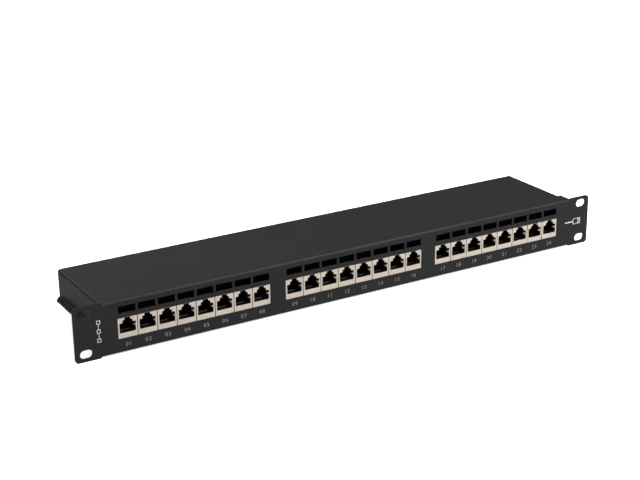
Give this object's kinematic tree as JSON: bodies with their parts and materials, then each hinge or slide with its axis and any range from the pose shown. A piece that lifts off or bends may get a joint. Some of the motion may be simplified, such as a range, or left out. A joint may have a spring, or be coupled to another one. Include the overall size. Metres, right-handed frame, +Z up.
{
  "type": "rack patch panel",
  "caption": "Rack-mount network patch panel: black steel front with ears and slots, rows of shielded jacks under label windows, folded roof, and a slide-out base pan with cable tray.",
  "frame": {"origin": "bottom centre of the whole panel's box: midway between the ears, midway between front face and roof rear, at the ears' bottom edge", "axes": "+X to the right seen from the front, along the panel's length; +Y to the back; +Z up"},
  "size_m": [0.4826, 0.0834, 0.0437],
  "materials": {
    "black_powder_coat": "fine-textured satin powder coat",
    "nickel_shield": "warm satin nickel plate",
    "black_plastic": "moulded matt black",
    "circuit_board": "green solder mask",
    "white_plastic": "moulded off-white",
    "zinc_steel": "zinc plated"
  },
  "bodies": {
    "panel": {"panel_shell": "black_powder_coat", "label_holder_1": "black_plastic", "label_holder_2": "black_plastic", "label_holder_3": "black_plastic", "jack_shield_01": "nickel_shield", "jack_shield_02": "nickel_shield", "jack_shield_03": "nickel_shield", "jack_shield_04": "nickel_shield", "jack_shield_05": "nickel_shield", "jack_shield_06": "nickel_shield", "jack_shield_07": "nickel_shield", "jack_shield_08": "nickel_shield", "jack_shield_09": "nickel_shield", "jack_shield_10": "nickel_shield", "jack_shield_11": "nickel_shield", "jack_shield_12": "nickel_shield", "jack_shield_13": "nickel_shield", "jack_shield_14": "nickel_shield", "jack_shield_15": "nickel_shield", "jack_shield_16": "nickel_shield", "jack_shield_17": "nickel_shield", "jack_shield_18": "nickel_shield", "jack_shield_19": "nickel_shield", "jack_shield_20": "nickel_shield", "jack_shield_21": "nickel_shield", "jack_shield_22": "nickel_shield", "jack_shield_23": "nickel_shield", "jack_shield_24": "nickel_shield", "contact_carrier_1": "black_plastic", "contact_carrier_2": "black_plastic", "contact_carrier_3": "black_plastic", "circuit_board_1": "circuit_board", "circuit_board_2": "circuit_board", "circuit_board_3": "circuit_board", "punch_down_block_1": "white_plastic", "punch_down_block_2": "white_plastic", "punch_down_block_3": "white_plastic", "standoff_1": "zinc_steel", "standoff_2": "zinc_steel", "standoff_3": "zinc_steel", "standoff_4": "zinc_steel", "standoff_5": "zinc_steel", "standoff_6": "zinc_steel", "board_screw_1": "zinc_steel", "board_screw_2": "zinc_steel", "board_screw_3": "zinc_steel", "board_screw_4": "zinc_steel", "board_screw_5": "zinc_steel", "board_screw_6": "zinc_steel"},
    "pan": {"base_pan": "black_powder_coat", "screen_clip_strip_1": "nickel_shield", "screen_clip_strip_2": "nickel_shield", "screen_clip_strip_3": "nickel_shield", "earthing_screw": "zinc_steel", "earthing_washer": "zinc_steel", "earthing_nut": "zinc_steel"}
  },
  "joints": [
    {"name": "pan_slide", "type": "slide", "parent": "panel", "child": "pan", "axis": [0, 1, 0], "range_m": [0, 0.082]}
  ]
}
